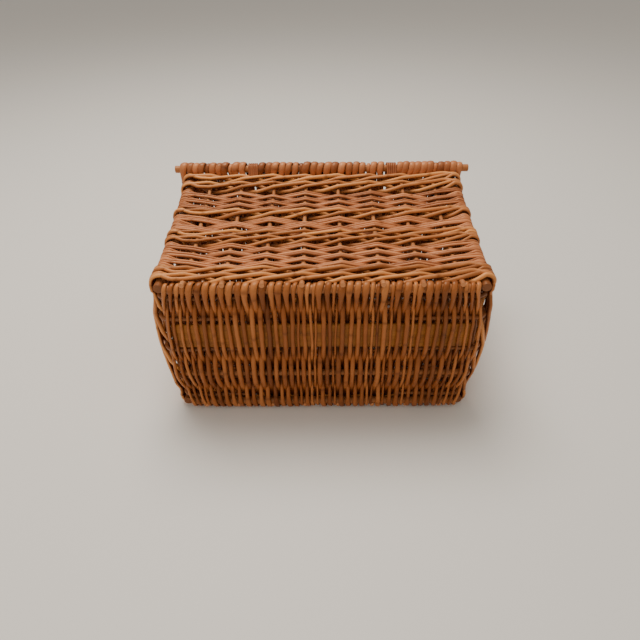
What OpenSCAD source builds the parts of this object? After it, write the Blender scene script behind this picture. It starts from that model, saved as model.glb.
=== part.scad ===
// Wicker storage trunk, lying on its front wall with its base facing -Y.
// X runs along the trunk, Y is the height above its own base, Z rises from the
// front wall, which rests on the floor at Z = 0, to the back wall, which carries the lid.

/* [Walls] */
// Distance between the back corner posts along the trunk, at the base
post_span = 411; // [396:1:440]
// Distance between the front and back posts, at the base
post_depth = 205.5; // [195:0.5:225]
// Height of the walls above the base's underside
wall_height = 299.5; // [293:0.5:340]
// How far each end wall leans out at the rim
end_flare = 12; // [0:1:20]
// How far the back wall leans out at the rim
back_flare = 17.5; // [0:0.5:20]
// How far the end walls bow out between their posts
end_bow = 10; // [0:0.5:10]
// How much further in each front corner post stands than the back one
front_inset = 3.5; // [0:0.5:8]

/* [Uprights] */
// Diameter of the corner posts
post_d = 12.5; // [10:0.5:14]
// Diameter of the wall stakes
stake_d = 6.6; // [5:0.1:7.4]
// Stakes in each long wall
long_wall_stakes = 8; // [6:1:8]
// Distance between stakes in the long walls
stake_pitch = 49.8; // [40:0.2:50]
// How far the end walls' stakes run into the base
stake_tail = 95; // [40:5:120]

/* [Base and lid] */
// Diameter of the outer sticks
outer_stick_d = 12; // [10:0.5:13]
// Diameter of the middle sticks
middle_stick_d = 9; // [7:0.5:10]
// Width of the flat slats
slat_w = 41; // [30:1:43]
// Thickness of the flat slats
slat_t = 5; // [4:0.5:6]
// Length of the lid's weave
lid_weave_length = 472; // [470:2:500]
// Length of the lid's outer sticks
lid_stick_length = 489; // [486:1:520]

/* [Hinges] */
// Distance of each hinge loop from the trunk's middle
hinge_x = 115; // [80:1:160]
// Width of the wound hinge loops
loop_w = 20; // [16:1:24]
// Outer diameter of the wound hinge loops
loop_d = 19.2; // [18:0.2:20]

/* [Hidden] */

$fn = 48;

// Clearances: between a rod and its channel, and between the lid's stick and its loops
channel_gap = 0.15;
running_gap = 0.08;
// How far a channel is cut past both faces of what it goes through
overcut = 1;

// Reach of the weave from the line of the stakes
wale_out = 12.5;
wale_edge_out = 10.5;
band_out = 10.5;
band_edge_out = 9;
randing_out = 9;
randing_edge_out = 8;
weave_in = 8;
skirt_in = 9.5;
inner_corner_r = 3;
crown_slope = 3;

// Heights of the woven bands above the base's underside
skirt_y = 7;
base_top_y = 20;
bottom_wale_y = 44;
lower_randing_y = 101;
lower_band_y = 132;
middle_randing_y = 171;
upper_band_y = 194;
upper_randing_y = 248;
top_wale_y = 285;

// The walls stand on the lines of their stakes
front_z = wale_out;

// The base's sticks lie in one plane, and its weave wraps over the outer ones
base_y = 10;
wrap = 3.5;
tail_thinning = 0.6;
tail_d = stake_d - tail_thinning;
base_face_y = base_y - outer_stick_d / 2 - wrap;
post_foot_rise = 0.6;
post_foot_y = base_face_y + post_foot_rise;
front_edge_inset = 0.5;
back_edge_inset = 2.5;
base_front_z = front_z + front_edge_inset;
base_back_z = front_z + post_depth - back_edge_inset;
base_depth = base_back_z - base_front_z;
weave_to_post = 0.75;
base_weave_length = post_span - 2 * (front_inset + post_d / 2 + weave_to_post);
member_length = base_weave_length + 10;

// Where the middle stick, the slat and the end stakes' tails lie, as shares of the base's depth
// and as distances from the base's members
middle_share = 0.28;
slat_share = 0.625;
tail_share = 0.77;
front_tail_gap = 10;
middle_tail_gap = 8.2;
slat_tail_gap = 4;
back_tail_gap = 12;
end_tails_z = [
    base_front_z + front_tail_gap, base_front_z + middle_share * base_depth - middle_tail_gap,
    base_front_z + slat_share * base_depth - slat_w / 2 - slat_tail_gap,
    base_front_z + tail_share * base_depth, base_back_z - back_tail_gap
];

// The lid closes just above the rim and overhangs the back wall's outer face
lid_gap = 1.5;
lid_overhang = 14;
lid_y = wall_height + lid_gap + outer_stick_d / 2 + wrap;
lid_front_z = outer_stick_d / 2 + wrap + lid_gap;
lid_back_z = front_z + post_depth + back_flare + lid_overhang;
lid_depth = lid_back_z - lid_front_z;
lid_member_length = lid_weave_length + 4;
notch_gap = 1;
notch_depth = 24;

// The origin is under the middle of the trunk's bounding box
mid_y = (base_face_y + lid_y + loop_d / 2) / 2;

arc_steps = 5;
weave_steps = 9;

// A flat weave's section: flat for a plateau over each member, thinnest between members
plateau = 3;
thin_half = 5.2;
middle_cover = wrap + 0.8;
slat_cover = wrap + 1.1;

willow = [0.69, 0.40, 0.20];
golden_willow = [0.80, 0.52, 0.28];
dark_willow = [0.50, 0.27, 0.12];
cut_wood = [0.72, 0.54, 0.32];

// Half the distance between the back posts, at height y
function end_half(y) = post_span / 2 + end_flare * y / wall_height;

// Height of the back wall's stakes above the floor, at height y
function back_z(y) = front_z + post_depth + back_flare * y / wall_height;

// How far out an end wall is at height y, where v runs from -1 at its front post to 1 at its back
function end_x(v, y) = end_half(y) + end_bow * (1 - v * v) - front_inset * (1 - v) / 2;

// Points of the walls' lines: u runs from -1 to 1 along a long wall, as v does up an end wall
function front_point(u, y) = [u * end_half(y), y, front_z];
function back_point(u, y) = [u * end_half(y), y, back_z(y)];
function end_point(side, v, y) = [
    side * end_x(v, y), y, front_z + (v + 1) / 2 * (back_z(y) - front_z)
];

// Where the stakes stand along a long wall, and a tail at height z along an end wall
function stake_u(i) = (i - (long_wall_stakes - 1) / 2) * stake_pitch / (post_span / 2);
function tail_v(z) = 2 * (z - front_z) / (back_z(base_y) - front_z) - 1;

// A quarter of a circle in the XZ plane, starting at angle a
function quarter(x, z, r, a) = [
    for (i = [0:arc_steps]) let (t = a + 90 * i / arc_steps) [x + r * cos(t), z + r * sin(t)]
];

// The walls' outline at height y, moved outwards by reach
function outline(y, reach) =
    let (
        r = max(reach, inner_corner_r),
        front_x = end_x(-1, y) + reach - r,
        back_x = end_x(1, y) + reach - r,
        low = front_z - reach + r,
        high = back_z(y) + reach - r,
        bows = [-0.5, 0, 0.5]
    )
    concat(
        [for (v = bows) [end_x(v, y) + reach, (low + high + v * (high - low)) / 2]],
        quarter(back_x, high, r, 0),
        quarter(-back_x, high, r, 90),
        [for (v = -bows) [-end_x(v, y) - reach, (low + high + v * (high - low)) / 2]],
        quarter(-front_x, low, r, 180),
        quarter(front_x, low, r, 270)
    );

// A closed ring round the walls: profile is a closed loop of [height, reach] points
module wall_ring(profile) {
    loops = [for (p = profile) outline(p[0], p[1])];
    n = len(loops[0]);
    m = len(profile);
    points = [for (k = [0:m - 1]) for (q = loops[k]) [q[0], profile[k][0], q[1]]];
    faces = [
        for (k = [0:m - 1]) for (i = [0:n - 1])
            let (
                a = k * n + i,
                b = k * n + (i + 1) % n,
                c = (k + 1) % m * n + (i + 1) % n,
                d = (k + 1) % m * n + i
            )
            each [[a, c, b], [a, d, c]]
    ];
    polyhedron(points, faces);
}

// A straight round rod from a to b
module rod(a, b, d) {
    v = b - a;
    translate(a)
        rotate([0, acos(v[2] / norm(v)), atan2(v[1], v[0])])
            cylinder(h = norm(v), d = d);
}

// The channels that the uprights pass through in a band from height low to height high
module channels(low, high) {
    a = low - overcut;
    b = high + overcut;
    d = stake_d + 2 * channel_gap;
    for (i = [0:long_wall_stakes - 1]) {
        u = stake_u(i);
        rod(front_point(u, a), front_point(u, b), d);
        rod(back_point(u, a), back_point(u, b), d);
    }
    for (side = [-1, 1]) {
        for (z = end_tails_z) {
            v = tail_v(z);
            rod(end_point(side, v, a), end_point(side, v, b), d);
        }
        for (v = [-1, 1])
            rod(end_point(side, v, a), end_point(side, v, b), post_d + 2 * channel_gap);
    }
}

// A band of weaving from height a to height b, crowned on its outer face
module band(a, b, out, edge_out) {
    difference() {
        wall_ring([
            [a, -weave_in], [a, edge_out], [a + crown_slope, out],
            [b - crown_slope, out], [b, edge_out], [b, -weave_in]
        ]);
        channels(a, b);
    }
}

// A corner post: v is -1 at the front and 1 at the back
module corner_post(side, v) {
    color(willow)
        rod(end_point(side, v, post_foot_y), end_point(side, v, wall_height), post_d);
}

module front_stakes() {
    color(willow)
        for (i = [0:long_wall_stakes - 1]) {
            u = stake_u(i);
            rod(front_point(u, base_top_y), front_point(u, wall_height), stake_d);
        }
}

module back_stakes() {
    color(willow)
        for (i = [0:long_wall_stakes - 1]) {
            u = stake_u(i);
            rod(back_point(u, base_top_y), back_point(u, wall_height), stake_d);
        }
}

// Each end stake's thinned tail runs in beside a base stick, and the stake turns up the wall
module end_stakes(side) {
    color(willow)
        for (z = end_tails_z) {
            v = tail_v(z);
            bend = end_point(side, v, base_y);
            heel = end_point(side, v, base_y - stake_d / 2);
            rod([side * (post_span / 2 - stake_tail), base_y, z], bend, tail_d);
            rod(heel, end_point(side, v, wall_height), stake_d);
        }
}

// The first wale hugs the base's edge and is the part that meets the floor
module bottom_wale() {
    color(golden_willow)
        difference() {
            wall_ring([
                [skirt_y, skirt_in], [skirt_y, wale_edge_out], [skirt_y + crown_slope, wale_out],
                [skirt_y + 3 * crown_slope, wale_out], [base_top_y, band_out],
                [bottom_wale_y, band_out], [bottom_wale_y, -weave_in],
                [base_top_y, -weave_in], [base_top_y, skirt_in]
            ]);
            channels(0, bottom_wale_y);
        }
}

module lower_randing() {
    color(willow) band(bottom_wale_y, lower_randing_y, randing_out, randing_edge_out);
}

module lower_band_wale() {
    color(golden_willow) band(lower_randing_y, lower_band_y, band_out, band_edge_out);
}

module middle_randing() {
    color(willow) band(lower_band_y, middle_randing_y, randing_out, randing_edge_out);
}

module upper_band_wale() {
    color(golden_willow) band(middle_randing_y, upper_band_y, band_out, band_edge_out);
}

module upper_randing() {
    color(willow) band(upper_band_y, upper_randing_y, randing_out, randing_edge_out);
}

module top_wale() {
    color(golden_willow) band(upper_randing_y, top_wale_y, band_out, band_edge_out);
}

module rim_border() {
    color(golden_willow) band(top_wale_y, wall_height, wale_out, wale_edge_out);
}

module stick(y, z, length, d) {
    color(cut_wood) rod([-length / 2, y, z], [length / 2, y, z], d);
}

module slat(y, z, length) {
    color(cut_wood) translate([0, y, z]) cube([length, slat_t, slat_w], center = true);
}

// Half thickness of a flat weave at share t of the way from one stick to the next
function swell(from, to, t) = thin_half
    + (from - thin_half) * pow(cos(90 * t), 4)
    + (to - thin_half) * pow(sin(90 * t), 4);

// One face of a flat weave: sticks is a list of [height, half thickness]
function weave_face(sticks) = [
    for (i = [0:len(sticks) - 2]) for (k = [0:weave_steps])
        let (
            from = sticks[i][0] + plateau,
            to = sticks[i + 1][0] - plateau,
            t = k / weave_steps
        )
        [from + t * (to - from), swell(sticks[i][1], sticks[i + 1][1], t)]
];

// The round of rods over an outer stick
function weave_round(z, r, a) = [
    for (i = [1:2 * arc_steps - 1]) let (t = a + 180 * i / (2 * arc_steps))
        [z + plateau * sign(cos(a + 90)) + (r - plateau) * cos(t), r * sin(t)]
];

// A flat weave along X, swollen where its rods pass over the sticks
module flat_weave(y, sticks, length) {
    face = weave_face(sticks);
    last = len(sticks) - 1;
    back = [for (i = [len(face) - 1:-1:0]) [face[i][0], -face[i][1]]];
    first_round = weave_round(sticks[0][0], sticks[0][1], 90);
    last_round = weave_round(sticks[last][0], sticks[last][1], -90);
    profile = concat(
        [[sticks[0][0] - plateau, sticks[0][1]]], face, [[sticks[last][0] + plateau, sticks[last][1]]],
        [for (i = [len(last_round) - 1:-1:0]) last_round[i]],
        [[sticks[last][0] + plateau, -sticks[last][1]]], back,
        [[sticks[0][0] - plateau, -sticks[0][1]]],
        [for (i = [len(first_round) - 1:-1:0]) first_round[i]]
    );
    translate([-length / 2, y, 0])
        rotate([90, 0, 90])
            linear_extrude(height = length)
                polygon([for (p = profile) [p[1], p[0]]]);
}

function weave_sticks(low, depth) = [
    [low, outer_stick_d / 2 + wrap],
    [low + middle_share * depth, middle_stick_d / 2 + middle_cover],
    [low + slat_share * depth, slat_t / 2 + slat_cover],
    [low + depth, outer_stick_d / 2 + wrap]
];

// Cuts the channels for the sticks of a flat weave
module stick_channels(y, low, depth, length) {
    span = length + 2 * overcut;
    for (z = [low, low + depth])
        rod([-span / 2, y, z], [span / 2, y, z], outer_stick_d + 2 * channel_gap);
    rod(
        [-span / 2, y, low + middle_share * depth], [span / 2, y, low + middle_share * depth],
        middle_stick_d + 2 * channel_gap
    );
    translate([0, y, low + slat_share * depth])
        cube([span, slat_t + 2 * channel_gap, slat_w + 2 * channel_gap], center = true);
}

module base_weave() {
    color(dark_willow)
        difference() {
            flat_weave(base_y, weave_sticks(base_front_z, base_depth), base_weave_length);
            stick_channels(base_y, base_front_z, base_depth, base_weave_length);
            for (side = [-1, 1]) for (z = end_tails_z)
                rod(
                    [side * (post_span / 2 - stake_tail - channel_gap), base_y, z],
                    [side * post_span / 2, base_y, z], stake_d + 2 * channel_gap
                );
        }
}

module lid_weave() {
    notch_w = loop_w + 2 * notch_gap;
    color(dark_willow)
        difference() {
            flat_weave(lid_y, weave_sticks(lid_front_z, lid_depth), lid_weave_length);
            stick_channels(lid_y, lid_front_z, lid_depth, lid_weave_length);
            for (side = [-1, 1])
                translate([side * hinge_x, lid_y, lid_back_z])
                    cube([notch_w, 2 * loop_d, 2 * notch_depth], center = true);
        }
}

// A wound loop that turns on the lid's back stick, with its end bound down to the rim
module hinge_loop(side) {
    rim_z = back_z(wall_height) + wale_out;
    strap_y = top_wale_y + crown_slope;
    strap_end_y = lid_y - outer_stick_d / 2 - notch_gap;
    color(golden_willow)
        translate([side * hinge_x, 0, 0])
            difference() {
                union() {
                    translate([-loop_w / 2, lid_y, lid_back_z])
                        rotate([0, 90, 0]) cylinder(h = loop_w, d = loop_d);
                    translate([-loop_w / 2, strap_y, rim_z])
                        cube([loop_w, strap_end_y - strap_y, wrap]);
                }
                translate([-loop_w, lid_y, lid_back_z])
                    rotate([0, 90, 0])
                        cylinder(h = 2 * loop_w, d = outer_stick_d + 2 * running_gap);
            }
}

module in_frame() {
    translate([0, -mid_y, 0]) children();
}

in_frame() stick(base_y, base_front_z, base_weave_length, outer_stick_d);  // base_front_stick
in_frame() stick(base_y, base_back_z, base_weave_length, outer_stick_d);  // base_back_stick
in_frame() slat(base_y, base_front_z + slat_share * base_depth, member_length);  // base_slat
in_frame()  // base_middle_stick
        stick(base_y, base_front_z + middle_share * base_depth, member_length, middle_stick_d);
in_frame() base_weave();
in_frame() corner_post(-1, -1);  // front_left_post
in_frame() corner_post(1, -1);  // front_right_post
in_frame() corner_post(-1, 1);  // back_left_post
in_frame() corner_post(1, 1);  // back_right_post
in_frame() front_stakes();
in_frame() back_stakes();
in_frame() end_stakes(-1);  // left_end_stakes
in_frame() end_stakes(1);  // right_end_stakes
in_frame() bottom_wale();
in_frame() lower_randing();
in_frame() lower_band_wale();
in_frame() middle_randing();
in_frame() upper_band_wale();
in_frame() upper_randing();
in_frame() top_wale();
in_frame() rim_border();
in_frame() hinge_loop(-1);  // left_hinge_loop
in_frame() hinge_loop(1);  // right_hinge_loop
in_frame() stick(lid_y, lid_back_z, lid_stick_length, outer_stick_d);  // lid_back_stick
in_frame() stick(lid_y, lid_front_z, lid_stick_length, outer_stick_d);  // lid_front_stick
in_frame() slat(lid_y, lid_front_z + slat_share * lid_depth, lid_member_length);  // lid_slat
in_frame()  // lid_middle_stick
        stick(lid_y, lid_front_z + middle_share * lid_depth, lid_member_length, middle_stick_d);
in_frame() lid_weave();
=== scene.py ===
"""A wicker storage trunk lying on its front wall: every rod of its weave, its stakes, sticks,
slats and wound hinge loops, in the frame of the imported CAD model."""

import math

import bpy
import numpy as np
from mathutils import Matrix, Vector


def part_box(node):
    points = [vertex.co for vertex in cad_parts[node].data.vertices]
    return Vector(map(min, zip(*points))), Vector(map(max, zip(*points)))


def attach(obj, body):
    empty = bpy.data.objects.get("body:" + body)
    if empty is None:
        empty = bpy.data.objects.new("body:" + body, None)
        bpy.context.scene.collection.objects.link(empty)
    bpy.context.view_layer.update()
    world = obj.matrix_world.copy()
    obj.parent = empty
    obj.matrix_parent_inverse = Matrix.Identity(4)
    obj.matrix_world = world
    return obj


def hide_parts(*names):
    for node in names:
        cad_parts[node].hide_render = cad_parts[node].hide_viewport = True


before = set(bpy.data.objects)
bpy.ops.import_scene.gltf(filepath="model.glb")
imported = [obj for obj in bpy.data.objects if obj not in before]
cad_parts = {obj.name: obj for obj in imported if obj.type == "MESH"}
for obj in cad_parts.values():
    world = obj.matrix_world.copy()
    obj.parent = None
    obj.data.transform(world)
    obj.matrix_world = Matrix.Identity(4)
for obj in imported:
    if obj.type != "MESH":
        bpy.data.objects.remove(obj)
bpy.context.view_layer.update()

MM = 0.001

X_AXIS = np.array([1.0, 0.0, 0.0])
Y_AXIS = np.array([0.0, 1.0, 0.0])
Z_AXIS = np.array([0.0, 0.0, 1.0])


# ---------------------------------------------------------------- sizes, from the frame

def box(node):
    low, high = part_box(node)
    return np.array(low), np.array(high)


def centre(node):
    low, high = box(node)
    return (low + high) / 2


post_low, post_high = box("front_right_post")
POST_R = (post_high[2] - post_low[2]) / 2
FRONT_Z = (post_high[2] + post_low[2]) / 2
FOOT_Y, TIP_Y = post_low[1], post_high[1]
FRONT_FOOT_HALF = post_low[0] + POST_R
back_low, back_high = box("back_right_post")
FOOT_HALF = back_low[0] + POST_R
TIP_HALF = back_high[0] - POST_R
FRONT_INSET = FOOT_HALF - FRONT_FOOT_HALF
FOOT_BACK = back_low[2] + POST_R
TIP_BACK = back_high[2] - POST_R

STAKE_R = (box("front_stakes")[1][2] - box("front_stakes")[0][2]) / 2
STAKES_LONG = 8
STAKES_END = 5
# How far an end wall bows out between its posts, and how tightly rods turn round a post
END_BOW = 12.5 * MM
CORNER_R = 1.5 * MM

BASE_Y = centre("base_weave")[1]
LID_Y, LID_AXIS_Z = centre("lid_back_stick")[1:]

# Powers of the walls' flare: above 1, a wall leans out more towards its rim
END_FLARE_CURVE = 1.9
BACK_FLARE_CURVE = 1.1


def climb(y):
    """How far up the walls a height is: 0 at the posts' feet, 1 at their tips."""
    return np.clip((y - FOOT_Y) / (TIP_Y - FOOT_Y), 0.0, 1.0)


def half_length(y):
    return FOOT_HALF + (TIP_HALF - FOOT_HALF) * climb(y) ** END_FLARE_CURVE


def back_height(y):
    return FOOT_BACK + (TIP_BACK - FOOT_BACK) * climb(y) ** BACK_FLARE_CURVE


def end_x(v, y):
    """How far out an end wall is, where v runs from -1 at its front post to 1 at its back one."""
    return half_length(y) + END_BOW * (1 - v * v) - FRONT_INSET * (1 - v) / 2


MEMBERS = ("front_stick", "middle_stick", "slat", "back_stick")
BASE_Z = np.array([centre("base_" + member)[2] for member in MEMBERS])
LID_Z = np.array([centre("lid_" + member)[2] for member in MEMBERS])
SLAT_HALF = (box("base_slat")[1] - box("base_slat")[0])[1:] / 2

# Where the stakes stand: shares of a long wall's half length, and heights along an end wall
long_tip_x = box("back_stakes")[1][0] - STAKE_R
LONG_SHARES = np.linspace(-1, 1, STAKES_LONG) * long_tip_x / TIP_HALF
END_STAKE_Z = np.array([
    BASE_Z[0] + 10 * MM, BASE_Z[1] - 8.2 * MM, BASE_Z[2] - SLAT_HALF[1] - 4 * MM,
    BASE_Z[0] + 0.77 * (BASE_Z[3] - BASE_Z[0]), BASE_Z[3] - 12 * MM,
])


# ---------------------------------------------------------------- the walls' centre line

def plan_table():
    """One turn round the walls, from the back left post along the back wall.

    Each row holds the number of the upright there, with fractions between uprights, the share
    of the wall's length, the share v of its depth, and the outward normal's X and Z."""
    depth = FOOT_BACK - FRONT_Z
    corners = [(-1, 1, 135), (1, 1, 45), (1, -1, -45), (-1, -1, -135)]
    front_shares = LONG_SHARES * FOOT_HALF / FRONT_FOOT_HALF
    end_v = 2 * (END_STAKE_Z - FRONT_Z) / depth - 1
    stakes = [
        [(u, 1) for u in LONG_SHARES], [(1, v) for v in end_v[::-1]],
        [(u, -1) for u in front_shares[::-1]], [(-1, v) for v in end_v],
    ]

    def place(u, v):
        return np.array([u * end_x(v, FOOT_Y), FRONT_Z + (v + 1) / 2 * depth])

    def corner(u, v, angles):
        turn = np.radians(angles)
        middle = place(u, v) - CORNER_R * np.array([u, v])
        normals = np.stack([np.cos(turn), np.sin(turn)], 1)
        return middle + CORNER_R * normals, normals

    rows, first = [], 0
    for wall in range(4):
        (ua, va, angle_a), (ub, vb, angle_b) = corners[wall], corners[(wall + 1) % 4]
        arc_a, normals_a = corner(ua, va, np.linspace(angle_a, angle_a - 45, 6))
        arc_b, normals_b = corner(ub, vb, np.linspace(angle_b + 45, angle_b, 6))
        steps = int(np.linalg.norm(arc_b[0] - arc_a[-1]) / PLAN_STEP)
        line = [
            place(ua + (ub - ua) * t, va + (vb - va) * t)
            for t in np.linspace(0, 1, steps)[1:-1]
        ]
        points = np.concatenate([arc_a, line, arc_b])
        normals = np.concatenate([normals_a, np.tile(normals_a[-1], (len(line), 1)), normals_b])
        s = lengths(points)
        marks = [0] + [np.linalg.norm(place(*at) - place(ua, va)) for at in stakes[wall]] + [s[-1]]
        number = np.interp(s, marks, first + np.arange(len(marks)))
        first += len(marks) - 1
        v = 2 * (points[:, 1] - FRONT_Z) / depth - 1
        rows.append(np.column_stack([number, points[:, 0] / end_x(v, FOOT_Y), v, normals])[:-1])
    return first, np.concatenate(rows)


def lengths(path):
    steps = np.linalg.norm(np.diff(path, axis=0), axis=1)
    return np.concatenate([[0], np.cumsum(steps)])


PLAN_STEP = 4.5 * MM
UPRIGHTS, PLAN = plan_table()
RIGHT_END, FRONT_WALL = STAKES_LONG + 2, STAKES_LONG + STAKES_END + 3
LEFT_END = FRONT_WALL + STAKES_LONG + 1
POSTS = np.array([0, RIGHT_END - 1, FRONT_WALL - 1, LEFT_END - 1])
BY_POSTS = np.array([RIGHT_END, FRONT_WALL - 2, LEFT_END, UPRIGHTS - 1])


def on_wall(number, y, reach):
    """Points at upright numbers and heights y, moved outwards from the stakes' line by reach."""
    u, v, nx, nz = (
        np.interp(number, PLAN[:, 0], PLAN[:, k], period=UPRIGHTS) for k in range(1, 5)
    )
    size = np.hypot(nx, nz)
    return np.stack([
        u * end_x(v, y) + reach * nx / size,
        y + np.zeros_like(u),
        FRONT_Z + (v + 1) / 2 * (back_height(y) - FRONT_Z) + reach * nz / size,
    ], 1)


# ---------------------------------------------------------------- rods as meshes

def smooth(t):
    """From 0 to 1 with level ends."""
    return (1 - np.cos(math.pi * t)) / 2


def slant(t):
    """From 0 to 1 almost straight, as a stiff rod runs between two stakes."""
    return t + 0.1 * np.sin(2 * math.pi * t) / (2 * math.pi)


def wander(s, wavelength, rng):
    """A smooth random line along s, mostly between -1 and 1."""
    total = np.zeros_like(s)
    for k, size in ((1.0, 0.6), (1.9, 0.35), (3.7, 0.2)):
        total += size * np.sin(2 * math.pi * k * s / wavelength + rng.uniform(0, 2 * math.pi))
    return total


class Rods:
    """Tapered round rods in one mesh, each with its own tone and its own coordinates."""

    KNOT_EVERY = 85 * MM
    KNOT_HALF = 2.2 * MM
    KNOT_SWELL = 0.10
    UNEVEN_OVER = 40 * MM

    def __init__(self, seed):
        self.rng = np.random.default_rng(seed)
        self.verts, self.faces = [], []
        self.data = {"rod_co": [], "tone": [], "knot": [], "cut": [], "depth": []}
        self.count = 0

    def keep(self, verts, rod_co, tone, knot, cut, depth):
        start = self.count
        n = len(verts)
        self.verts.append(verts)
        self.data["rod_co"].append(rod_co)
        for name, value in (("tone", tone), ("knot", knot), ("cut", cut), ("depth", depth)):
            self.data[name].append(np.broadcast_to(value, n).astype(np.float32))
        self.count += n
        return start

    def add(
        self, path, radius, ref, tone, sides=8, thin=1.0, wide=1.0, depth=0.0, cut=1.0, rough=0.05,
        knots=True,
    ):
        """A rod along path, which never goes below the floor.

        ref is a direction across it: wide stretches it along ref, and thin squeezes it across.
        depth paints shade on it, all round or, as vectors, on the side that faces away from them."""
        rng, n = self.rng, len(path)
        tone = np.broadcast_to(tone, n)
        thin = np.broadcast_to(thin, n)[:, None, None]
        wide = np.broadcast_to(wide, n)[:, None, None]
        s = lengths(path)
        radius = np.broadcast_to(radius, n) * (1 + rough * wander(s, self.UNEVEN_OVER, rng))
        knot = np.zeros(n)
        if knots:
            for at in np.arange(rng.uniform(0, self.KNOT_EVERY), s[-1], self.KNOT_EVERY):
                knot += np.exp(-(((s - at - rng.uniform(0, 30 * MM)) / self.KNOT_HALF) ** 2))
            radius = radius * (1 + self.KNOT_SWELL * knot)
        tangent = np.gradient(path, axis=0)
        tangent /= np.linalg.norm(tangent, axis=1, keepdims=True)
        side = np.cross(tangent, ref)
        side /= np.linalg.norm(side, axis=1, keepdims=True)
        up = np.cross(side, tangent)
        turn = 2 * math.pi * np.arange(sides) / sides + rng.uniform(0, 2 * math.pi)
        cos, sin = np.cos(turn)[None, :, None], np.sin(turn)[None, :, None]
        depth = np.asarray(depth, dtype=float)
        if depth.ndim == 2:
            facing = cos * side[:, None, :] + sin * up[:, None, :]
            depth = np.clip(-(facing * depth[:, None, :]).sum(2), 0, 1)
        else:
            depth = np.broadcast_to(np.broadcast_to(depth, n)[:, None], (n, sides))
        ring = thin * cos * side[:, None, :] + wide * sin * up[:, None, :]
        verts = path[:, None, :] + radius[:, None, None] * ring
        verts[..., 2] = np.maximum(verts[..., 2], 0)
        mean = float(np.mean(radius))
        shift = rng.uniform(0, 5, 3)
        co = np.empty((n, sides, 3))
        co[..., 0] = mean * np.cos(turn) + shift[0]
        co[..., 1] = mean * np.sin(turn) + shift[1]
        co[..., 2] = s[:, None] + shift[2]
        first = self.keep(
            verts.reshape(-1, 3), co.reshape(-1, 3), np.repeat(tone, sides), np.repeat(knot, sides),
            0.0, depth.ravel(),
        )
        i, j = np.meshgrid(np.arange(n - 1), np.arange(sides), indexing="ij")
        a, b = i * sides + j, i * sides + (j + 1) % sides
        quads = first + np.stack([a, a + sides, b + sides, b], -1).reshape(-1, 4)
        self.faces.extend(quads.tolist())
        for end, flip in ((0, True), (n - 1, False)):
            rim = np.concatenate([verts[end], path[end:end + 1]])
            rim_co = np.concatenate([co[end], co[end].mean(0, keepdims=True)])
            cap = self.keep(rim, rim_co, tone[end], 0.0, cut, float(depth[end].mean()))
            for k in range(sides):
                pair = (cap + k, cap + (k + 1) % sides)
                self.faces.append([*(pair[::-1] if flip else pair), cap + sides])

    def piece(self, name, material, body, slot, *nodes):
        """Makes the mesh, and has it ride on a body in place of CAD nodes."""
        mesh = bpy.data.meshes.new(name)
        mesh.from_pydata(np.concatenate(self.verts).tolist(), [], self.faces)
        for key, parts in self.data.items():
            values = np.concatenate(parts).astype(np.float32)
            kind, field = ("FLOAT_VECTOR", "vector") if key == "rod_co" else ("FLOAT", "value")
            mesh.attributes.new(key, kind, "POINT").data.foreach_set(field, values.ravel())
        mesh.shade_smooth()
        mesh.materials.append(material)
        return finish_piece(name, mesh, body, slot, *nodes)


def finish_piece(name, mesh, body, slot, *nodes):
    piece = bpy.data.objects.new(name, mesh)
    bpy.context.scene.collection.objects.link(piece)
    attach(piece, body)
    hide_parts(*nodes)
    return piece


# ---------------------------------------------------------------- materials

class Nodes:
    """A material's node tree, with one short call for each node."""

    def __init__(self, name):
        self.material = bpy.data.materials.new(name)
        self.material.use_nodes = True
        self.tree = self.material.node_tree
        self.shader = self.tree.nodes["Principled BSDF"]

    def link(self, source, target):
        self.tree.links.new(source, target)

    def new(self, kind, **settings):
        node = self.tree.nodes.new(kind)
        for key, value in settings.items():
            setattr(node, key, value)
        return node

    def attribute(self, name):
        return self.new("ShaderNodeAttribute", attribute_name=name)

    def put(self, socket, value):
        if isinstance(value, bpy.types.NodeSocket):
            self.link(value, socket)
        else:
            socket.default_value = value

    def math(self, operation, a, b=0.0, c=0.0, clamp=False):
        node = self.new("ShaderNodeMath", operation=operation, use_clamp=clamp)
        for socket, value in zip(node.inputs, (a, b, c)):
            self.put(socket, value)
        return node.outputs[0]

    def noise(self, vector, scale, detail=3.0, roughness=0.55):
        node = self.new("ShaderNodeTexNoise")
        self.link(vector, node.inputs["Vector"])
        node.inputs["Scale"].default_value = scale
        node.inputs["Detail"].default_value = detail
        node.inputs["Roughness"].default_value = roughness
        return node.outputs[0]

    def stretch(self, vector, scale):
        node = self.new("ShaderNodeMapping")
        self.link(vector, node.inputs["Vector"])
        node.inputs["Scale"].default_value = scale
        return node.outputs[0]

    def ramp(self, value, stops):
        node = self.new("ShaderNodeValToRGB")
        self.link(value, node.inputs[0])
        elements = node.color_ramp.elements
        while len(elements) < len(stops):
            elements.new(0.5)
        for element, (at, colour) in zip(elements, stops):
            element.position = at
            element.color = (*colour, 1)
        return node.outputs[0]

    def mix(self, share, a, b, blend="MIX"):
        node = self.new("ShaderNodeMix", data_type="RGBA", blend_type=blend)
        self.put(node.inputs[0], share)
        self.put(node.inputs[6], a)
        self.put(node.inputs[7], b)
        return node.outputs[2]

    def bump(self, height, strength, distance, normal=None):
        node = self.new("ShaderNodeBump")
        node.inputs["Strength"].default_value = strength
        node.inputs["Distance"].default_value = distance
        self.link(height, node.inputs["Height"])
        if normal is not None:
            self.link(normal, node.inputs["Normal"])
        return node.outputs[0]


# Cut ends, and what the base colour is multiplied by at knots and, as painted shade, on rods'
# hidden sides
PITH = (0.60, 0.24, 0.095, 1)
KNOT_TINT = (0.34, 0.24, 0.18, 1)
PAINTED_SHADE_TINT = (0.14, 0.05, 0.025, 1)
SHEEN_TINT = (1.0, 0.60, 0.32, 1)


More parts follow.
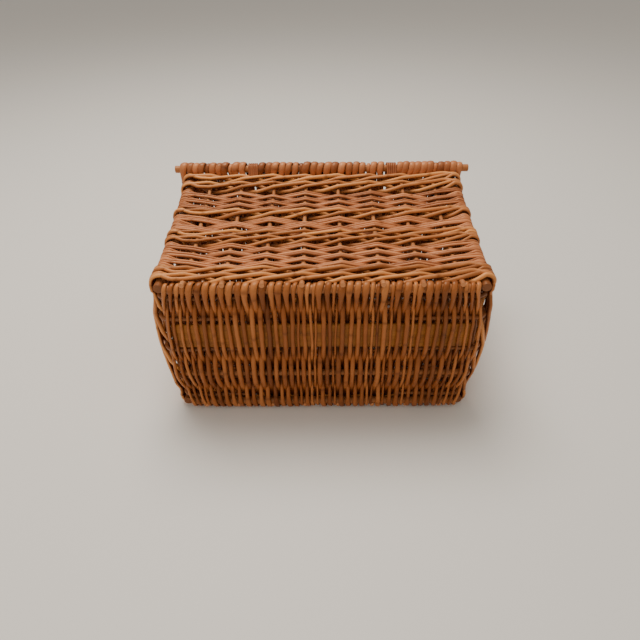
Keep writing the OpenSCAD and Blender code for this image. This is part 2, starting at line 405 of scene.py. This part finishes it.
def willow(name, dark, mid, light):
    """Varnished willow: fine grain along the rod, blotches, dark knots, pale cut ends, and painted
    shade on rods' hidden sides.
    """
    n = Nodes(name)
    co = n.attribute("rod_co").outputs["Vector"]
    tone = n.attribute("tone").outputs["Fac"]
    knot = n.attribute("knot").outputs["Fac"]
    cut = n.attribute("cut").outputs["Fac"]
    depth = n.attribute("depth").outputs["Fac"]
    grain = n.noise(n.stretch(co, (1, 1, 0.05)), 1500, 4, 0.6)
    blotch = n.noise(n.stretch(co, (0.7, 0.7, 0.5)), 90, 3, 0.6)
    drift = n.noise(n.stretch(co, (0.2, 0.2, 1)), 14, 2, 0.5)
    shade = n.math("ADD", tone, n.math("MULTIPLY_ADD", grain, 0.30, -0.15))
    shade = n.math("ADD", shade, n.math("MULTIPLY_ADD", blotch, 0.5, -0.25))
    shade = n.math("ADD", shade, n.math("MULTIPLY_ADD", drift, 0.4, -0.2), clamp=True)
    colour = n.ramp(shade, [(0.08, dark), (0.5, mid), (0.92, light)])
    knot_share = n.math("MULTIPLY", knot, 0.7, clamp=True)
    colour = n.mix(knot_share, colour, n.mix(1.0, colour, KNOT_TINT, "MULTIPLY"))
    # Painted shade: the depth attribute darkens the base colour on rods' hidden sides, deep in the
    # weave
    colour = n.mix(depth, colour, n.mix(1.0, colour, PAINTED_SHADE_TINT, "MULTIPLY"))
    colour = n.mix(n.math("MULTIPLY", cut, 0.8), colour, PITH)
    n.link(colour, n.shader.inputs["Base Color"])
    gloss = n.math("MULTIPLY_ADD", blotch, 0.30, 0.24)
    n.link(n.math("ADD", gloss, n.math("MULTIPLY", grain, 0.10)), n.shader.inputs["Roughness"])
    rough = n.bump(grain, 0.5, 0.25 * MM)
    rough = n.bump(blotch, 0.3, 0.5 * MM, rough)
    n.link(rough, n.shader.inputs["Normal"])
    n.shader.inputs["Specular Tint"].default_value = SHEEN_TINT
    n.shader.inputs["Coat Weight"].default_value = 0.1
    n.shader.inputs["Coat Roughness"].default_value = 0.22
    return n.material


def slat_wood(name):
    """A planed slat: long grain and scuffed, uneven varnish."""
    n = Nodes(name)
    co = n.new("ShaderNodeTexCoord").outputs["Object"]
    grain = n.noise(n.stretch(co, (0.04, 1, 1)), 900, 5, 0.65)
    figure = n.noise(n.stretch(co, (0.10, 1, 1)), 160, 3, 0.5)
    blotch = n.noise(co, 45, 3, 0.6)
    shade = n.math("ADD", n.math("MULTIPLY", grain, 0.5), n.math("MULTIPLY", figure, 0.6))
    shade = n.math("ADD", shade, n.math("MULTIPLY_ADD", blotch, 0.5, -0.35), clamp=True)
    colour = n.ramp(shade, [
        (0.2, (0.16, 0.045, 0.007)), (0.5, (0.34, 0.115, 0.020)), (0.85, (0.54, 0.210, 0.045))
    ])
    n.link(colour, n.shader.inputs["Base Color"])
    n.link(n.math("MULTIPLY_ADD", blotch, 0.3, 0.3), n.shader.inputs["Roughness"])
    n.link(n.bump(grain, 0.5, 0.3 * MM), n.shader.inputs["Normal"])
    n.shader.inputs["Specular Tint"].default_value = SHEEN_TINT
    return n.material


GOLDEN = willow("golden_willow", (0.27, 0.080, 0.020), (0.54, 0.190, 0.055), (0.86, 0.350, 0.095))
BROWN = willow("wall_willow", (0.24, 0.066, 0.021), (0.49, 0.165, 0.058), (0.72, 0.275, 0.105))
RUSSET = willow("rod_willow", (0.15, 0.036, 0.007), (0.32, 0.090, 0.020), (0.52, 0.180, 0.050))
STICK = willow("stick_willow", (0.19, 0.055, 0.016), (0.38, 0.130, 0.042), (0.56, 0.230, 0.085))
BINDING = willow("hinge_binding", (0.16, 0.042, 0.014), (0.32, 0.095, 0.034), (0.50, 0.175, 0.065))
SLAT = slat_wood("split_slat")


# ---------------------------------------------------------------- weaving the walls

# How far a wale's strand rides over the strands beside it, and out past a corner post
WALE_RIDE = 3.2 * MM
POST_RIDE = 1.5 * MM
# How fast painted shade darkens a rod towards its hidden side
SHADOW = 1.5
# How unevenly a strand lies, in and out and up and down, with wavelengths in uprights
UNEVEN_OUT, UNEVEN_OUT_WAVE = 0.35 * MM, 7
UNEVEN_UP, UNEVEN_UP_WAVE = 0.6 * MM, 9
# How much of an upright's spacing a strand's ends tuck past the upright that hides them
TUCK = 0.4


def strand(rods, y, is_out, lift, r, tone, ride=None):
    """One strand round the walls, of three tapered rods that meet inside the wall.

    is_out and ride say for upright numbers if the strand passes outside, and how much further
    out than the stake's face. lift is its height over y at upright numbers with fractions."""
    rng = rods.rng

    def reach_at(at):
        here = at % UPRIGHTS
        outside = STAKE_R + r + (ride(at) if ride else 0)
        reach = np.where(is_out(at), outside, -(STAKE_R + r))
        reach = np.where(np.isin(here, BY_POSTS), STAKE_R + r, reach)
        round_post = POST_R + r + CORNER_R * (math.sqrt(2) - 1) + (POST_RIDE if ride else 0)
        return np.where(np.isin(here, POSTS), round_post, reach)

    at = np.arange(UPRIGHTS)
    joins = at[~is_out(at) & ~np.isin(at, POSTS) & ~np.isin(at, BY_POSTS)]
    first = rng.integers(0, len(joins) // 3)
    ends = joins[[first, first + len(joins) // 3, first + 2 * len(joins) // 3]]
    turns = np.concatenate([PLAN[:, 0] + k * UPRIGHTS for k in range(3)])
    for start, end in zip(ends, [ends[1], ends[2], ends[0] + UPRIGHTS]):
        number = turns[(turns >= start - TUCK) & (turns <= end + TUCK)]
        whole = np.floor(number).astype(int)
        a, b = reach_at(whole), reach_at(whole + 1)
        reach = a + (b - a) * slant(number - whole)
        reach = reach + UNEVEN_OUT * wander(number, UNEVEN_OUT_WAVE, rng)
        share = (number - number[0]) / (number[-1] - number[0])
        height = y + lift(number) + UNEVEN_UP * wander(number, UNEVEN_UP_WAVE, rng)
        path = on_wall(number, height, reach)
        outwards = on_wall(number, height, 1.0) - on_wall(number, height, 0.0)
        # Painted shade: where the strand passes inside the stakes its outward side is darkened, and
        # where it passes outside, its inward side
        rods.add(
            path, r * rng.uniform(0.94, 1.08) * (1.12 - 0.26 * share), Y_AXIS,
            np.clip(tone + rng.normal(0, 0.18), 0, 1),
            depth=outwards * (SHADOW * reach / (STAKE_R + r))[:, None],
        )


def randing_row(rods, y, parity, r, strands, spread, tone):
    """A row of rods side by side that pass over every other upright."""
    for k in range(strands):
        offset = (k - (strands - 1) / 2) * spread
        strand(
            rods, y, lambda at: (at + parity) % 2 == 0,
            lambda number: offset * (1 + 0.10 * wander(number, 5, rods.rng)), r, tone,
        )


def wale_row(rods, y, shift, r, rise, tone):
    """A row of three rods like a rope: each climbs over two uprights, then goes behind one."""
    for first in range(shift, shift + 3):
        def lift(number):
            phase = (number - first + 0.5) % 3
            return np.where(phase < 2, rise * (phase - 1), rise * (5 - 2 * phase))
        strand(
            rods, y, lambda at: (at - first) % 3 != 2, lift, r, tone,
            ride=lambda at: np.where((at - first) % 3 == 1, WALE_RIDE, 0),
        )


def band(node, material, slot, seed, rows, weave, low_gap=0.0):
    """One woven band: weave is called for each of its evenly spaced rows."""
    rods = Rods(seed)
    low, high = box(node)
    start = low[1] + low_gap
    for row in range(rows):
        weave(rods, start + (row + 0.5) * (high[1] - start) / rows, row)
    return rods.piece("woven_" + node, material, "trunk", slot, node)


def randing_band(node, seed, rows, r, strands, spread, tone):
    def weave(rods, y, row):
        randing_row(rods, y, (row + seed) % 2, r, strands, spread, tone)
    band(node, BROWN, "wall_willow", seed, rows, weave)


def wale_band(node, seed, rows, r, rise, tone, low_gap=0.0):
    def weave(rods, y, row):
        wale_row(rods, y, row + seed, r, rise, tone)
    band(node, GOLDEN, "golden_willow", seed, rows, weave, low_gap)


wale_band("bottom_wale", 11, 2, 2.95 * MM, 6.6 * MM, 0.55, low_gap=8 * MM)
randing_band("lower_randing", 2, 7, 2.0 * MM, 2, 4.3 * MM, 0.55)
wale_band("lower_band_wale", 3, 2, 2.45 * MM, 6.3 * MM, 0.5, low_gap=2 * MM)
randing_band("middle_randing", 5, 3, 2.1 * MM, 3, 4.4 * MM, 0.5)
wale_band("upper_band_wale", 6, 1, 2.8 * MM, 5.6 * MM, 0.55)
randing_band("upper_randing", 7, 6, 2.05 * MM, 2, 4.4 * MM, 0.5)
wale_band("top_wale", 8, 1, 3.0 * MM, 8.5 * MM, 0.5)
wale_band("rim_border", 12, 1, 3.1 * MM, 5.0 * MM, 0.55)


# ---------------------------------------------------------------- stakes and posts

def upright_path(number, foot, tip, steps=44):
    y = np.linspace(foot, tip, steps)
    return on_wall(np.full(steps, float(number)), y, np.zeros(steps))


# A long wall's stakes end as pegs over the base's edge: how far in from it, how far back the
# step over the outer stick starts, and how far out they step at the back and front walls
PEG_INSET = 2.5 * MM
PEG_STEP_OVER = 12 * MM
PEG_OUT_BACK, PEG_OUT_FRONT = 7.5 * MM, -4 * MM


def long_stakes(node, seed, numbers):
    """Stakes of a long wall. Their scraped feet show as pegs over the base's outer stick."""
    rods = Rods(seed)
    peg_y = box("base_weave")[0][1] + PEG_INSET
    foot_y, tip_y = box(node)[0][1], box(node)[1][1]
    for number in numbers:
        path = upright_path(number, peg_y, tip_y)
        over_stick = np.clip((foot_y - path[:, 1]) / PEG_STEP_OVER, 0, 1)
        is_back = path[0, 2] > (FRONT_Z + FOOT_BACK) / 2
        path[:, 2] += (PEG_OUT_BACK if is_back else PEG_OUT_FRONT) * smooth(over_stick)
        path[:, 0] += 0.8 * MM * wander(path[:, 1], 0.2, rods.rng)
        taper = 1.05 - 0.25 * climb(path[:, 1])
        rods.add(path, STAKE_R * taper, X_AXIS, np.clip(rods.rng.normal(0.6, 0.1), 0, 1))
    rods.piece("willow_" + node, STICK, "trunk", "stick_willow", node)


KNEE_RISE = 14 * MM
KNEE_R = 12 * MM
TAIL_STEPS, KNEE_STEPS = 22, 6


def end_stakes(node, seed, numbers, side):
    """Each end stake runs in beside a base stick, then bends up the end wall."""
    rods = Rods(seed)
    low, high = box(node)
    inner_x = low[0] if side > 0 else high[0]
    for number in numbers:
        wall = upright_path(number, BASE_Y + KNEE_RISE, high[1])
        knee = wall[0] + np.array([0, -KNEE_RISE, 0])
        tail = np.stack([
            np.linspace(inner_x, knee[0] - side * KNEE_R, TAIL_STEPS),
            np.full(TAIL_STEPS, BASE_Y), np.full(TAIL_STEPS, knee[2]),
        ], 1)
        tail[:, 2] += 1.2 * MM * wander(tail[:, 0], 120 * MM, rods.rng)
        turn = np.radians(np.linspace(12, 78, KNEE_STEPS))
        bend = np.stack([
            knee[0] - side * KNEE_R * (1 - np.sin(turn)),
            BASE_Y + KNEE_R * (1 - np.cos(turn)), np.full(KNEE_STEPS, knee[2]),
        ], 1)
        path = np.concatenate([tail, bend, wall])
        step = np.arange(len(path))
        knee_end = TAIL_STEPS + KNEE_STEPS
        size = np.interp(step, [0, 10, knee_end, len(path)], [0.72, 0.92, 1.0, 0.8])
        # Painted shade on the tail, where it runs in beside the base stick
        shade = np.interp(step, [TAIL_STEPS - 2, knee_end + 4], [0.55, 0])
        tone = np.clip(rods.rng.normal(0.45, 0.12), 0, 1)
        rods.add(path, STAKE_R * size, Z_AXIS, tone, depth=shade)
    rods.piece("willow_" + node, STICK, "trunk", "stick_willow", node)


POST_FOOT_INSET = 7 * MM
POST_FOOT_SHADE = 20 * MM


def corner_post(node, seed, number):
    """A thick post, cut square at its foot, which is darkened with painted shade."""
    rods = Rods(seed)
    low, high = box(node)
    path = upright_path(number, low[1] + POST_FOOT_INSET, high[1], 70)
    # Painted shade darkens the post towards its foot
    foot = np.clip((path[:, 1] - low[1]) / POST_FOOT_SHADE, 0, 1)
    rods.add(path, POST_R, X_AXIS, 0.35, sides=16, depth=0.8 * (1 - foot), cut=0.0, rough=0.03)
    rods.piece("willow_" + node, STICK, "trunk", "stick_willow", node)


long_stakes("back_stakes", 21, range(1, STAKES_LONG + 1))
long_stakes("front_stakes", 22, range(FRONT_WALL, FRONT_WALL + STAKES_LONG))
end_stakes("right_end_stakes", 23, range(RIGHT_END, RIGHT_END + STAKES_END), 1)
end_stakes("left_end_stakes", 24, range(LEFT_END, LEFT_END + STAKES_END), -1)
for seed, (node, number) in enumerate(zip(
    ("back_left_post", "back_right_post", "front_right_post", "front_left_post"), POSTS
)):
    corner_post(node, 30 + seed, number)


# ---------------------------------------------------------------- the base and the lid

OUTER_R = (box("lid_back_stick")[1][2] - box("lid_back_stick")[0][2]) / 2
MIDDLE_R = (box("lid_middle_stick")[1][2] - box("lid_middle_stick")[0][2]) / 2


class FlatWeave:
    """Rods that run in and out of two outer sticks, a middle stick and a slat, all along X.

    bow is how far the outermost rods bow out, slack is how far rods hang under the first stick
    (-1 is close round it), gather is how late they lean towards their places on the last stick,
    and wear_and_highlight is how much paler they are where they turn over it: partly worn
    varnish, partly a painted highlight on the tops that face the light."""

    PRESSED = 0.55
    PRESSED_OVER = 13 * MM
    LONG_WANDER, LONG_WAVE = 1.0 * MM, 300 * MM
    SHORT_WANDER, SHORT_WAVE = 0.35 * MM, 70 * MM

    def __init__(self, y, heights, half_width, bow, slack=-1.0, gather=1.0, wear_and_highlight=0.0):
        self.y, self.z, self.half_width, self.bow = y, heights, half_width, bow
        self.slack, self.gather, self.wear_and_highlight = slack, gather, wear_and_highlight
        self.half = np.array([OUTER_R, MIDDLE_R, SLAT_HALF[0], OUTER_R])
        self.level = np.array([0, 0.5 * MM, SLAT_HALF[1] - 2 * MM, 0])

    def thin(self, z):
        """A rod is pressed flat where it turns round an outer stick."""
        edge = np.minimum(np.abs(z - self.z[0]), np.abs(z - self.z[-1]))
        return self.PRESSED + (1 - self.PRESSED) * smooth(np.clip(edge / self.PRESSED_OVER, 0, 1))

    def offset(self, z, parity, r):
        """How far in front of the sticks' plane a rod passes at height z; parity swaps sides."""
        knots_z, knots_d = [], []
        for k in range(4):
            side = 1 if (k + parity) % 2 == 0 else -1
            knots_z += [self.z[k] - self.level[k], self.z[k] + self.level[k] + 1e-6]
            knots_d += 2 * [side * (self.half[k] + r * float(self.thin(self.z[k])))]
        k = np.clip(np.searchsorted(knots_z, z) - 1, 0, len(knots_z) - 2)
        za, zb = np.take(knots_z, k), np.take(knots_z, k + 1)
        t = np.clip((z - za) / (zb - za), 0, 1)
        return np.take(knots_d, k) + (np.take(knots_d, k + 1) - np.take(knots_d, k)) * smooth(t)

    def leg(self, rods, x_low, x_high, parity, r, steps=62):
        rng = rods.rng
        z = np.linspace(self.z[0], self.z[-1], steps)
        share = (z - z[0]) / (z[-1] - z[0])
        x = x_low + (x_high - x_low) * share ** self.gather
        x = x + self.LONG_WANDER * wander(z, self.LONG_WAVE, rng)
        x = x + self.SHORT_WANDER * wander(z, self.SHORT_WAVE, rng)
        x = x + self.bow * np.sign(x) * np.abs(x / self.half_width) ** 4 * 4 * share * (1 - share)
        return np.stack([x, self.y - self.offset(z, parity, r), z], 1)

    def turn(self, start, end_x, stick_z, angle, r, way, steps=11):
        """Round an outer stick from start. way is over 0 over its top and under 0 below it."""
        t = np.linspace(0, angle, steps)[1:]
        reach = OUTER_R + r * self.PRESSED
        side = np.sign(self.y - start[1])
        return np.stack([
            start[0] + (end_x - start[0]) * t / math.pi,
            self.y - side * reach * np.cos(t), stick_z + way * reach * np.sin(t),
        ], 1)

    def hairpin(self, rods, feet, bends, r, tone):
        """A rod that comes up behind the first stick, turns over the last one and goes down.

        feet and bends are its two X positions at the first and at the last stick."""
        up = self.leg(rods, feet[0], bends[0], 1, r)
        down = self.leg(rods, feet[1], bends[1], 0, r)[::-1]
        over = self.turn(
            up[-1], down[0, 0], self.z[-1], math.pi, r, rods.rng.uniform(0.98, 1.16)
        )[:-1]
        under = self.turn(down[-1], 2 * feet[1] - feet[0], self.z[0], 0.8 * math.pi, r, self.slack)
        path = np.concatenate([up, over, down, under])
        taper = np.linspace(1.1, 0.88, len(path))
        edge = np.concatenate([
            self.thin(up[:, 2]), np.full(len(over), self.PRESSED), self.thin(down[:, 2]),
            np.full(len(under), self.PRESSED),
        ])
        # Painted shade: where a rod passes behind the sticks, its side towards the sticks' plane is
        # darkened
        away = np.outer(SHADOW * (path[:, 1] - self.y) / (OUTER_R + r), Y_AXIS)
        # Paler tone on the tops, where rods turn over the last stick: partly worn varnish, partly a
        # painted highlight
        wear_and_highlight = self.wear_and_highlight * np.clip((path[:, 2] - self.z[-1] + 4 * MM) / (6 * MM), 0, 1)
        rods.add(
            path, r * taper, X_AXIS, np.clip(tone + wear_and_highlight, 0, 1), thin=edge, wide=edge ** -0.45,
            depth=away,
        )

    def fill(self, rods, sizes, bends, feet, r, tone):
        """One hairpin for each size, at its X positions on the last and on the first stick."""
        rng = rods.rng
        pitch = 2 * self.half_width / len(sizes)
        for size, bend, foot in zip(sizes, bends, feet):
            quarter = 0.25 * pitch * (0.4 + 0.6 * size)
            lean = quarter * rng.uniform(0.6, 1.1)
            self.hairpin(
                rods, (foot - quarter, foot + quarter), (bend - lean, bend + lean), r * size,
                np.clip(rng.normal(tone, 0.2), 0, 1),
            )


def rod_sizes(rng, count, thin_share):
    """Sizes of a bundle's rods: most are thick, and some are thin."""
    thin = rng.random(count) < thin_share
    return np.where(thin, rng.uniform(0.55, 0.72, count), rng.uniform(0.95, 1.2, count))


def side_by_side(low, high, sizes):
    """Where rods of these sizes lie from low to high."""
    edges = np.concatenate([[0], np.cumsum(0.4 + sizes)])
    return low + (high - low) * (edges[:-1] + edges[1:]) / 2 / edges[-1]


def base_rods():
    rods = Rods(41)
    half_width = box("base_weave")[1][0] + 2 * MM
    weave = FlatWeave(BASE_Y, BASE_Z, half_width, 1.15 * END_BOW, slack=-1.42, wear_and_highlight=0.15)
    sizes = rod_sizes(rods.rng, 44, 0.3)
    sizes[[0, 1, 3, -1, -2, -4]] = 0.7
    bends = side_by_side(-half_width - 2 * MM, half_width + 2 * MM, sizes)
    feet = side_by_side(-half_width, half_width, sizes)
    weave.fill(rods, sizes, bends, feet, 3.0 * MM, 0.5)
    rods.piece("woven_base", RUSSET, "trunk", "rod_willow", "base_weave")


LOOP_GAP = 1 * MM


def lid_rods():
    """The lid's rods crowd together at the back stick to leave room for the hinge loops."""
    rods = Rods(42)
    half_width = box("lid_weave")[1][0] - 2 * MM
    weave = FlatWeave(LID_Y, LID_Z, half_width, 4 * MM, gather=8)
    loop_low = box("right_hinge_loop")[0][0] - LOOP_GAP
    loop_high = box("right_hinge_loop")[1][0] + LOOP_GAP
    sizes = rod_sizes(rods.rng, 41, 0.15)
    bends = np.concatenate([
        side_by_side(-half_width, -loop_high, sizes[:11]),
        side_by_side(-loop_low, loop_low, sizes[11:30]),
        side_by_side(loop_high, half_width, sizes[30:]),
    ])
    feet = side_by_side(-half_width, half_width, sizes)
    weave.fill(rods, sizes, bends, feet, 3.95 * MM, 0.42)
    rods.piece("woven_lid", BROWN, "lid", "wall_willow", "lid_weave")


def stick(node, seed, body, tone=0.5, drop=0.0, steps=120):
    """A stick along X, a little uneven, with pale cut ends, that lies lower by drop."""
    rods = Rods(seed)
    low, high = box(node)
    r = (high[2] - low[2]) / 2
    _, mid_y, mid_z = centre(node)
    x = np.linspace(low[0], high[0], steps)
    path = np.stack([x, np.full(steps, mid_y), np.full(steps, mid_z - drop)], 1)
    rods.add(path, r - 0.15 * MM, Z_AXIS, tone, sides=16, rough=0.012, knots=False)
    rods.piece("willow_" + node, STICK, body, "stick_willow", node)


def slat(node, seed, body, sides=24, steps=90):
    """A riven slat with rounded edges and slightly wavy sides."""
    rng = np.random.default_rng(seed)
    low, high = box(node)
    half_y, half_z = (high[1] - low[1]) / 2, (high[2] - low[2]) / 2
    mid = centre(node)
    turn = 2 * math.pi * (np.arange(sides) + 0.5) / sides
    cos, sin = np.cos(turn), np.sin(turn)
    round_y = np.sign(cos) * np.abs(cos) ** 0.35
    round_z = np.sign(sin) * np.abs(sin) ** 0.18
    x = np.linspace(low[0], high[0], steps)
    wave = 0.5 * MM * wander(x, 220 * MM, rng)
    thick = 1 + 0.05 * wander(x, 300 * MM, rng)
    verts = np.stack([
        np.repeat(x, sides),
        (mid[1] + np.outer(thick * half_y, round_y)).ravel(),
        (mid[2] + wave[:, None] + np.outer(np.ones(steps) * (half_z - 0.5 * MM), round_z)).ravel(),
    ], 1)
    faces = [
        [i * sides + j, (i + 1) * sides + j,
         (i + 1) * sides + (j + 1) % sides, i * sides + (j + 1) % sides]
        for i in range(steps - 1) for j in range(sides)
    ]
    faces += [list(range(sides)), [(steps - 1) * sides + j for j in range(sides - 1, -1, -1)]]
    mesh = bpy.data.meshes.new("wood_" + node)
    mesh.from_pydata(verts.tolist(), [], faces)
    mesh.validate()
    mesh.shade_smooth()
    mesh.materials.append(SLAT)
    finish_piece("wood_" + node, mesh, body, "split_slat", node)


base_rods()
lid_rods()
stick("base_front_stick", 50, "trunk", drop=2 * MM)
stick("base_back_stick", 51, "trunk")
stick("base_middle_stick", 52, "trunk")
for seed, node in enumerate(("lid_back_stick", "lid_front_stick", "lid_middle_stick")):
    stick(node, 60 + seed, "lid", 0.6)
slat("base_slat", 71, "trunk")
slat("lid_slat", 72, "lid")


# ---------------------------------------------------------------- hinge loops

def belt(a, ra, b, rb, steps=40):
    """A belt round two circles in the YZ plane, as closed points."""
    gap = np.array(b) - np.array(a)
    angle = math.atan2(gap[1], gap[0])
    lean = math.acos((ra - rb) / np.linalg.norm(gap))
    round_b = np.linspace(angle - lean, angle + lean, steps // 2)
    round_a = np.linspace(angle + lean, angle - lean + 2 * math.pi, steps // 2)
    points = [(b[0] + rb * math.cos(t), b[1] + rb * math.sin(t)) for t in round_b]
    points += [(a[0] + ra * math.cos(t), a[1] + ra * math.sin(t)) for t in round_a]
    return np.array(points)


BINDING_R = 1.9 * MM
BINDING_TURNS = 5
BINDING_GAP = 0.3 * MM
RIM_WRAP_R = 5.5 * MM


def hinge_loop(node, seed):
    """Split willow wound side by side round the lid's back stick and in under the rim."""
    rods = Rods(seed)
    low, high = box(node)
    rim = (box("rim_border")[1][1] - 1 * MM, TIP_BACK - 1 * MM)
    r = BINDING_R
    ring = belt((LID_Y, LID_AXIS_Z), OUTER_R + r + BINDING_GAP, rim, RIM_WRAP_R)
    loop = np.concatenate([ring] * BINDING_TURNS + [ring[:1]])
    x = np.linspace(low[0] + r, high[0] - r, len(loop))
    path = np.stack([x, loop[:, 0], loop[:, 1]], 1)
    rods.add(path, r, X_AXIS, 0.5, thin=0.8, wide=0.92, knots=False, rough=0.08)
    rods.piece("wound_" + node, BINDING, "trunk", "hinge_binding", node)


hinge_loop("left_hinge_loop", 81)
hinge_loop("right_hinge_loop", 82)


# ---------------------------------------------------------------- floor, light and camera

FLOOR_HALF = 8.0


def floor():
    mesh = bpy.data.meshes.new("floor")
    half = FLOOR_HALF
    mesh.from_pydata(
        [(-half, -half, 0), (half, -half, 0), (half, half, 0), (-half, half, 0)], [], [(0, 1, 2, 3)]
    )
    n = Nodes("pale_floor")
    n.shader.inputs["Base Color"].default_value = (0.80, 0.75, 0.68, 1)
    n.shader.inputs["Roughness"].default_value = 0.6
    mesh.materials.append(n.material)
    piece = bpy.data.objects.new("floor", mesh)
    bpy.context.scene.collection.objects.link(piece)


def area_light(name, place, target, size, power, colour=(1, 1, 1)):
    light = bpy.data.lights.new(name, "AREA")
    light.shape = "RECTANGLE"
    light.size, light.size_y = size
    light.energy = power
    light.color = colour
    lamp = bpy.data.objects.new(name, light)
    lamp.location = place
    aim = np.array(target) - np.array(place)
    lamp.rotation_euler = (
        math.acos(-aim[2] / np.linalg.norm(aim)), 0, math.atan2(aim[0], -aim[1]) + math.pi
    )
    bpy.context.scene.collection.objects.link(lamp)


def light():
    world = bpy.data.worlds.new("studio")
    world.use_nodes = True
    world.node_tree.nodes["Background"].inputs["Color"].default_value = (1.0, 0.95, 0.88, 1)
    world.node_tree.nodes["Background"].inputs["Strength"].default_value = 0.45
    bpy.context.scene.world = world
    area_light("overhead", (-0.3, 0.6, 2.1), (0, 0, 0.1), (1.2, 1.2), 46, (1.0, 0.97, 0.92))
    area_light("front_fill", (-0.9, -2.0, 1.3), (0, 0, 0.1), (1.6, 1.6), 10, (1.0, 0.95, 0.88))


CAMERA_LENS = 28.3
CAMERA_X = -0.5 * MM
CAMERA_PITCH = 38.8
CAMERA_HEIGHT = 580 * MM
CAMERA_STANDOFF = 506 * MM
CAMERA_ROLL = 0.35


def camera():
    data = bpy.data.cameras.new("camera")
    data.lens = CAMERA_LENS
    data.sensor_width = 36
    eye = bpy.data.objects.new("camera", data)
    eye.location = (CAMERA_X, box("base_weave")[0][1] - CAMERA_STANDOFF, CAMERA_HEIGHT)
    eye.rotation_euler = (math.radians(90 - CAMERA_PITCH), math.radians(CAMERA_ROLL), 0)
    bpy.context.scene.collection.objects.link(eye)
    bpy.context.scene.camera = eye


floor()
light()
camera()
